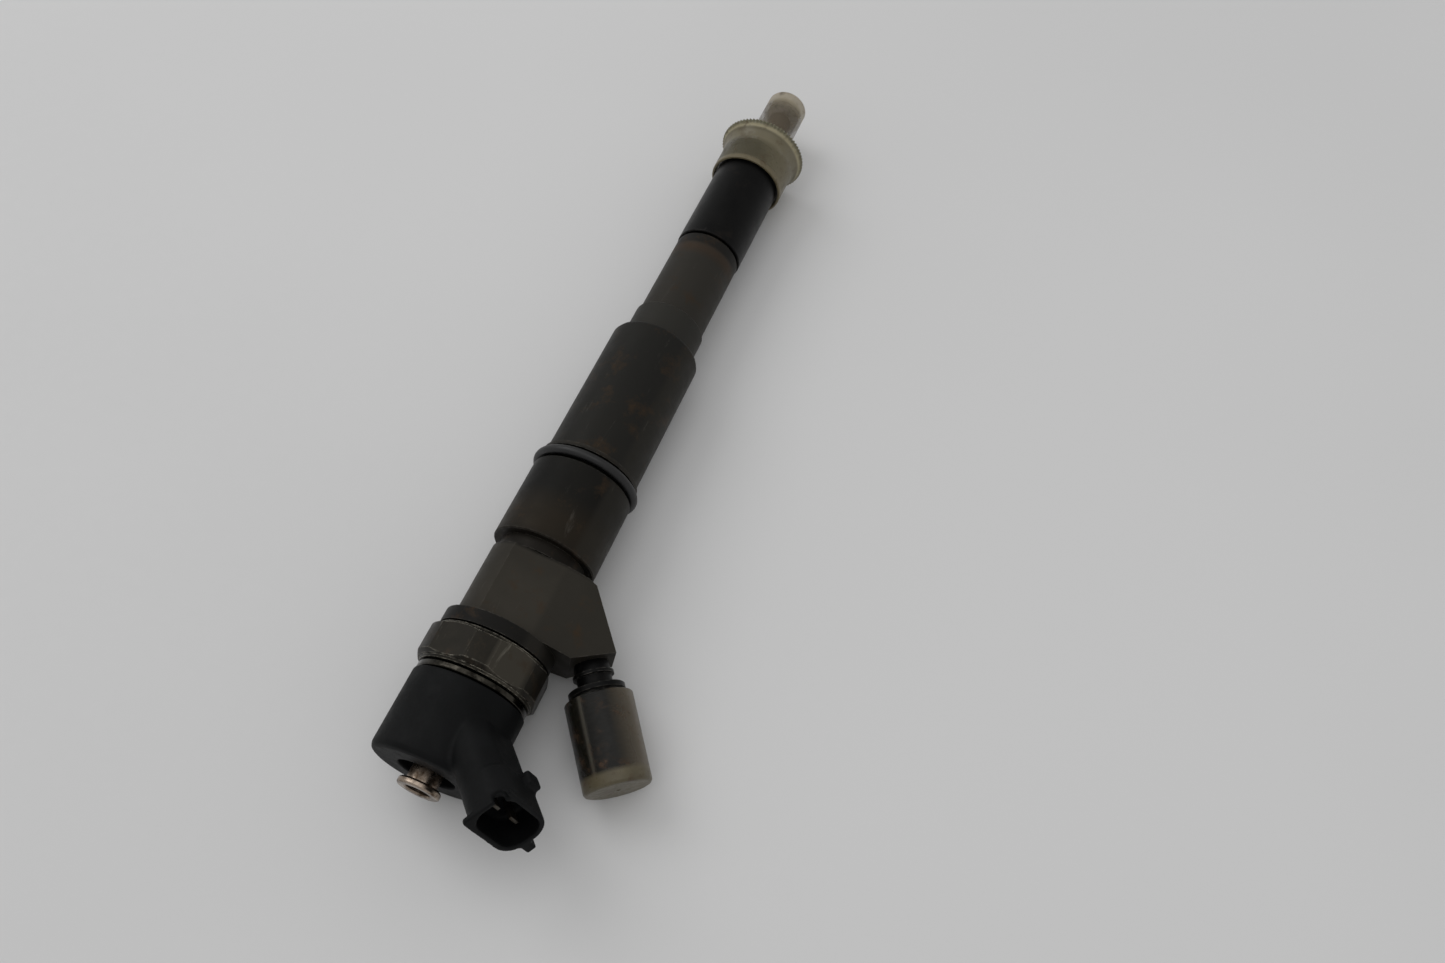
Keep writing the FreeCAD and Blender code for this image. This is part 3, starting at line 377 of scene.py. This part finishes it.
# (from, to, soft edge, tint, share) along the injector, head end first.
HOLDER_ZONES = [
    (-171.0, -166.9, 0.3, (0.0075, 0.0072, 0.0068), 0.92),  # dark disc under the nut
    (-166.7, -148.3, 0.5, (0.044, 0.039, 0.031), 0.82),     # block that carries the inlet arm
    (-148.3, -119.0, 0.4, (0.0064, 0.0063, 0.0057), 0.90),  # guide, down to the O-ring
    (-146.0, -135.0, 3.0, (0.026, 0.0200, 0.013), 0.75),    # brown oil stain on the guide
    (-148.1, -144.7, 0.3, (0.012, 0.010, 0.008), 0.80),     # clamp groove
    (-118.3, -76.6, 0.4, (0.0175, 0.0172, 0.0155), 0.90),   # shank
    (-76.4, -67.5, 0.4, (0.034, 0.033, 0.029), 0.80),       # step
    (-67.5, -40.0, 0.4, (0.036, 0.033, 0.028), 0.80),       # neck
    (-47.0, -43.5, 1.4, (0.060, 0.034, 0.018), 0.45),       # rust near the neck's end
    (-43.6, -39.5, 0.5, (0.012, 0.0115, 0.0105), 0.85),     # dark band at the nozzle nut
]
# The arm's sloped side and the nut's bright flat: (from, to, tint, share) across the injector.
ARM_FACET = (9.2, 60, (0.028, 0.0255, 0.0205), 0.60)
NUT_FLAT = (5.2, 12.6, (0.068, 0.061, 0.048), 0.75)

STEEL = worn_steel(
    "holder_steel_worn", dark=(0.018, 0.0165, 0.0135), light=(0.035, 0.032, 0.026),
    stain=(0.046, 0.029, 0.016), worn=(0.13, 0.12, 0.105), rough=0.50, metal=0.50,
    zones=HOLDER_ZONES, facets=[ARM_FACET])
NUT = worn_steel(
    "nut_steel_worn", dark=(0.0115, 0.0105, 0.0082), light=(0.027, 0.024, 0.019),
    stain=(0.046, 0.032, 0.020), worn=(0.44, 0.41, 0.34), rough=0.40, metal=0.60,
    turned=False, wear=0.95, facets=[NUT_FLAT])
BLACK = worn_steel(
    "black_oxide_steel", dark=(0.0026, 0.0026, 0.0027), light=(0.0062, 0.0062, 0.0060),
    stain=(0.016, 0.0125, 0.010), worn=(0.125, 0.118, 0.105), rough=0.38, metal=0.50, wear=0.9)
BRIGHT = bright_metal("bright_nickel", (0.38, 0.31, 0.25), (0.075, 0.048, 0.028), 0.20)
RING = bright_metal("ring_steel_rubbed", (0.050, 0.046, 0.038), (0.010, 0.009, 0.0075), 0.10)
TIN = bright_metal("tinned_bronze_dull", (0.10, 0.092, 0.080), (0.050, 0.042, 0.032), 0.42)
IRON = ground_metal("sintered_iron", (0.26, 0.25, 0.24), 0.42)
GROUND = ground_metal("ground_steel_bright", (0.50, 0.50, 0.51), 0.20)
SPRING = ground_metal("spring_wire", (0.22, 0.21, 0.21), 0.34)
NOZZLE = ground_metal("nozzle_steel", (0.20, 0.155, 0.12), 0.36)
COPPER = wound_wire("enamelled_copper", (0.40, 0.13, 0.045), (0.62, 0.25, 0.10))
RUBBER = rubber("o_ring_rubber_black", (0.0025, 0.0025, 0.0028), (0.0085, 0.0082, 0.0080))
HEAD = moulded_plastic("head_plastic_black", (0.0021, 0.0024, 0.0026), (0.0085, 0.0082, 0.0074),
                       0.54, shine=0.11)
BOBBIN = moulded_plastic("bobbin_plastic_natural", (0.42, 0.36, 0.24), (0.30, 0.26, 0.20), 0.45)
INLET_CAP = milky_plastic(
    "inlet_cap_milky", wall=(0.0075, 0.0070, 0.0053), dirt=(0.058, 0.031, 0.015), alpha=0.76,
    places=[
        (ACROSS_ARM, -8.2, -4.9, 0.5, (0.011, 0.010, 0.007), 0.0),       # shaded side
        (ACROSS_ARM, -4.7, -3.9, 0.35, (0.075, 0.068, 0.054), 0.12),     # pale streak
        (ALONG_ARM, 11.2, 20.2, 0.6, (0.112, 0.095, 0.058), 0.30),       # thick closed end
    ],
    lit=(ACROSS_ARM, 1.5, 7.5, (0.150, 0.124, 0.088)))
NOZZLE_CAP = milky_plastic(
    "nozzle_cap_milky", wall=(0.098, 0.087, 0.053), dirt=(0.070, 0.046, 0.022), alpha=0.66,
    places=[
        (LENGTHWISE, -10.5, -8.6, 0.4, (0.150, 0.125, 0.075), 0.30),     # rim
        (LENGTHWISE, -1.2, 2.6, 1.0, (0.195, 0.172, 0.112), 0.15),       # shoulder
        (LENGTHWISE, 2.4, 3.5, 0.3, (0.32, 0.285, 0.185), 0.40),         # flange's near edge
        (LENGTHWISE, 3.5, 5.2, 0.3, (0.155, 0.145, 0.088), 0.20),        # flange's far face
        (LENGTHWISE, 5.2, 22.0, 0.8, (0.165, 0.135, 0.095), -0.28),      # tube, thin and clear
        (LENGTHWISE, 21.5, 40.0, 2.0, (0.43, 0.375, 0.275), 0.05),       # tube's closed end
    ],
    lit=(SIDEWAYS, 2.0, 11.0, (0.22, 0.19, 0.12)))

SLOT_PAINT = {
    "holder_steel": STEEL,
    "nut_steel": NUT,
    "bright_steel": BRIGHT,
    "black_steel": BLACK,
    "head_plastic": HEAD,
    "cap_plastic": NOZZLE_CAP,
    "o_ring_rubber": RUBBER,
    "magnet_iron": IRON,
    "bobbin_plastic": BOBBIN,
    "winding_copper": COPPER,
    "terminal_tin": TIN,
    "ground_steel": GROUND,
    "spring_steel": SPRING,
}

for node, solid in NODES.items():
    solid.material_slots[0].material = SLOT_PAINT[SLOT_OF[node]]


# ---------------------------------------------------------------- pieces

def linked(name, data):
    thing = bpy.data.objects.new(name, data)
    bpy.context.scene.collection.objects.link(thing)
    return thing


def mesh_from(build, name):
    mesh = bpy.data.meshes.new(name)
    build.to_mesh(mesh)
    build.free()
    return mesh


def joined(node):
    """The CAD node's shape with its doubled points joined."""
    build = bmesh.new()
    build.from_mesh(NODES[node].data)
    bmesh.ops.remove_doubles(build, verts=build.verts, dist=1e-6)
    return build


def finished(mesh, name, node, material, sharp):
    """A piece that stands for a CAD node and rides on its body. sharp is in degrees."""
    mesh.materials.clear()
    mesh.materials.append(material)
    for face in mesh.polygons:
        face.use_smooth = True
    mesh.set_sharp_from_angle(angle=math.radians(sharp))
    piece = linked(name, mesh)
    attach(piece, BODY_OF[node])
    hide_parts(node)
    return piece


def softened(node, name, material, width, segments=2, sharp=32, reshape=None):
    """The CAD node's shape with its edges broken, as tumbling and handling leave them."""
    build = joined(node)
    bmesh.ops.dissolve_limit(build, angle_limit=math.radians(0.6), verts=build.verts,
                             edges=build.edges)
    if reshape is not None:
        reshape(build)
    corners = [edge for edge in build.edges if len(edge.link_faces) == 2
               and edge.calc_face_angle(0.0) > math.radians(sharp - 4)]
    bmesh.ops.bevel(build, geom=corners, offset=width * MM, offset_type="OFFSET",
                    segments=segments, profile=0.6, affect="EDGES", clamp_overlap=True)
    piece = finished(mesh_from(build, name), name, node, material, sharp)
    even = piece.modifiers.new("even_normals", "WEIGHTED_NORMAL")
    even.keep_sharp = True


def grip_flange(build):
    """Slopes the near side of the cap's flange and carries its grip teeth down that slope."""
    teeth, tip, depth = 72, 12.9, 0.55
    rim, slope_top, slope_foot, foot_radius = 12.3, 4.0, 3.4, 12.1
    for vert in build.verts:
        reach = math.hypot(vert.co.x, vert.co.z)
        if reach < rim * MM or vert.co.y > slope_top * MM:
            continue
        if vert.co.y < slope_foot * MM:
            wanted = foot_radius * MM
        else:
            step = math.atan2(vert.co.z, vert.co.x) / (math.pi / teeth) % 2
            wanted = (tip - depth * min(step, 2 - step)) * MM
        vert.co.x *= min(wanted, reach) / reach
        vert.co.z *= min(wanted, reach) / reach


def remelted(node, name, material, voxel, fillet, passes):
    """The CAD node's shape with fillets in its inner corners and soft edges, as a moulding has.

    It swells by the fillet and shrinks back, with a remesh before each step. Sizes are in mm.
    """
    draft = linked(name + "_draft", mesh_from(joined(node), name))
    for step, grow in enumerate((fillet, -fillet, 0.0)):
        remesh = draft.modifiers.new("remesh_%d" % step, "REMESH")
        remesh.mode = "VOXEL"
        remesh.voxel_size = voxel * MM
        if grow:
            swell = draft.modifiers.new("swell_%d" % step, "DISPLACE")
            swell.direction = "NORMAL"
            swell.mid_level = 0.0
            swell.strength = grow * MM
    relax = draft.modifiers.new("relax", "SMOOTH")
    relax.factor = 0.5
    relax.iterations = passes
    depsgraph = bpy.context.evaluated_depsgraph_get()
    flowed = bpy.data.meshes.new_from_object(draft.evaluated_get(depsgraph))
    bpy.data.objects.remove(draft)
    finished(flowed, name, node, material, 80)


# The inlet fitting's outline before and after its thread: radius, and place along the arm from
# the thread's middle, both in mm.
FITTING_ROOT = [
    (1.4, -27.0), (4.03, -27.0), (4.03, -15.2), (4.15, -14.9), (4.15, -12.8), (4.85, -12.75),
    (4.85, -11.95), (4.15, -11.9), (4.15, -9.25), (6.5, -9.2), (6.7, -9.0), (6.7, -7.9),
    (6.5, -7.7), (6.1, -7.7), (6.1, -7.4),
]
FITTING_MOUTH = [(6.1, 7.7), (5.5, 8.75), (4.3, 8.8), (2.0, 5.6), (2.0, -7.3), (1.4, -7.3)]
THREAD_RADIUS, THREAD_PITCH, THREAD_DEPTH, THREAD_REACH = 7.0, 1.5, 0.92, 7.35
ROWS_PER_TURN, POINTS_ROUND = 12, 96


def thread_radius(place, turn):
    """The thread's radius in mm at a place along it, and at a share of a turn round it."""
    # Half of the root and one flank, as shares of the pitch, and the run-out at each end in mm.
    half_root, slope, run_out = 0.08, 0.34, 1.2
    phase = (place / THREAD_PITCH - turn) % 1.0
    flank = max(0.0, min(1.0, (abs(phase - 0.5) - half_root) / slope))
    fade = min(1.0, (place + THREAD_REACH) / run_out, (THREAD_REACH - place) / run_out)
    shallow = 0.5 * THREAD_DEPTH * (1.0 - max(0.0, fade))
    return THREAD_RADIUS - THREAD_DEPTH * (1.0 - flank) - shallow


def threaded_fitting(node, name, material):
    """The inlet fitting with its real M14 thread, as it shows with the cap pulled off."""
    rows = round(2 * THREAD_REACH / THREAD_PITCH * ROWS_PER_TURN)
    places = [2 * THREAD_REACH * i / rows - THREAD_REACH for i in range(rows + 1)]
    outline = FITTING_ROOT + [(None, place) for place in places] + FITTING_MOUTH
    build = bmesh.new()
    rings = []
    for radius, place in outline:
        ring = []
        for j in range(POINTS_ROUND):
            angle = 2 * math.pi * j / POINTS_ROUND
            reach = thread_radius(place, j / POINTS_ROUND) if radius is None else radius
            ring.append(build.verts.new((reach * math.cos(angle) * MM, place * MM,
                                         reach * math.sin(angle) * MM)))
        rings.append(ring)
    for ring, after in zip(rings, rings[1:] + rings[:1]):
        for j in range(POINTS_ROUND):
            k = (j + 1) % POINTS_ROUND
            build.faces.new((ring[j], ring[k], after[k], after[j]))
    bmesh.ops.recalc_face_normals(build, faces=build.faces)
    mesh = mesh_from(build, name)
    turned = Matrix((-ARM_SIDE, ARM_AXIS, ARM_AXIS.cross(ARM_SIDE))).transposed()
    mesh.transform(Matrix.Translation(ARM_MID) @ turned.to_4x4())
    finished(mesh, name, node, material, 40)


def squeezed_spring(node):
    """A coil spring whose free end follows the piece that it presses on, with 5 % to spare."""
    piece = finished(NODES[node].data.copy(), node + "_coil", node, SPRING, 40)
    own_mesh(piece)


for joint in frame["joints"]:
    for moved in joint.get("deforming_nodes", []):
        # The armature spring clears its neighbours at both limits, so its CAD node stays.
        if moved["node"] != "armature_spring":
            squeezed_spring(moved["node"])

softened("holder_body", "holder_skin", STEEL, 0.16)
softened("solenoid_nut", "solenoid_nut_skin", NUT, 0.14, sharp=24)
softened("nut_retaining_ring", "bright_ring_skin", RING, 0.12)
softened("nozzle_nut", "nozzle_nut_skin", BLACK, 0.12)
softened("return_nipple", "return_nipple_skin", BRIGHT, 0.10)
softened("terminals", "terminal_skins", TIN, 0.15)
softened("nozzle_body", "nozzle_skin", NOZZLE, 0.05)
softened("inlet_cap", "inlet_cap_skin", INLET_CAP, 0.12)
softened("nozzle_cap", "nozzle_cap_skin", NOZZLE_CAP, 0.05, sharp=28, reshape=grip_flange)
threaded_fitting("inlet_fitting", "inlet_fitting_threaded", BLACK)
remelted("head_cover", "head_cover_skin", HEAD, voxel=0.22, fillet=0.7, passes=4)


# ---------------------------------------------------------------- stage, light, camera

FLOOR_REACH = 6.0
FLOOR_GAP = 0.02 * MM
FLANGE_FOOT_Y = 4.1 * MM
LIT_SPOT = Vector((0.0, -0.09, 0.0))
ROOM_BRIGHTNESS = 0.49


def pale_floor():
    """A plain pale table, level with the nut and the nozzle cap that the injector lies on."""
    mesh = bpy.data.meshes.new("table_top")
    corners = [(-1, -1), (1, -1), (1, 1), (-1, 1)]
    mesh.from_pydata([(x * FLOOR_REACH, y * FLOOR_REACH, 0) for x, y in corners],
                     [], [(0, 1, 2, 3)])
    mesh.materials.append(painted_table("table_white", (0.70, 0.70, 0.70), (0.735, 0.735, 0.735)))
    table = linked("table_top", mesh)
    nut_low, nut_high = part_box("solenoid_nut")
    cap_low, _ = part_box("nozzle_cap")
    nut_foot = Vector((0, (nut_low.y + nut_high.y) / 2, nut_low.z))
    slope = math.atan2(cap_low.z - nut_foot.z, FLANGE_FOOT_Y - nut_foot.y)
    table.rotation_euler = (slope, 0, 0)
    table.location = nut_foot - Vector((0, 0, FLOOR_GAP))


def soft_light(name, place, width, power):
    """A square soft light that looks at the middle of the injector."""
    lamp = bpy.data.lights.new(name, "AREA")
    lamp.shape = "RECTANGLE"
    lamp.size = lamp.size_y = width
    lamp.energy = power
    light = linked(name, lamp)
    light.location = place
    light.rotation_euler = (LIT_SPOT - Vector(place)).to_track_quat("-Z", "Y").to_euler()


def camera():
    """Looks down over the head end, from where the photograph was taken."""
    data = bpy.data.cameras.new("view")
    data.sensor_width = 22.3
    data.lens = 18.0
    data.clip_start = 0.01
    data.clip_end = 50
    eye = linked("view", data)
    # The place, in mm, and the directions were fitted to the outlines in the photograph.
    place = Vector((87.6, -250.1, 251.24))
    right = Vector((0.92810, 0.37230, 0.00508))
    down = Vector((0.32078, -0.79260, -0.51855))
    ahead = Vector((-0.18903, 0.48289, -0.85503))
    turn = Matrix((right, -down, -ahead)).transposed()
    eye.matrix_world = Matrix.Translation(place * MM) @ turn.to_4x4()
    bpy.context.scene.camera = eye


def room():
    """Even pale light from all round, and colours shown as they are."""
    world = bpy.data.worlds.new("room")
    world.use_nodes = True
    background = world.node_tree.nodes["Background"]
    background.inputs["Color"].default_value = (1, 1, 1, 1)
    background.inputs["Strength"].default_value = ROOM_BRIGHTNESS
    bpy.context.scene.world = world
    bpy.context.scene.view_settings.view_transform = "Standard"
    bpy.context.scene.view_settings.look = "None"


pale_floor()
camera()
soft_light("window", (-1.25, 0.25, 1.35), 1.15, 7.0)
soft_light("ceiling", (0.15, -0.1, 1.4), 1.2, 2.7)
room()
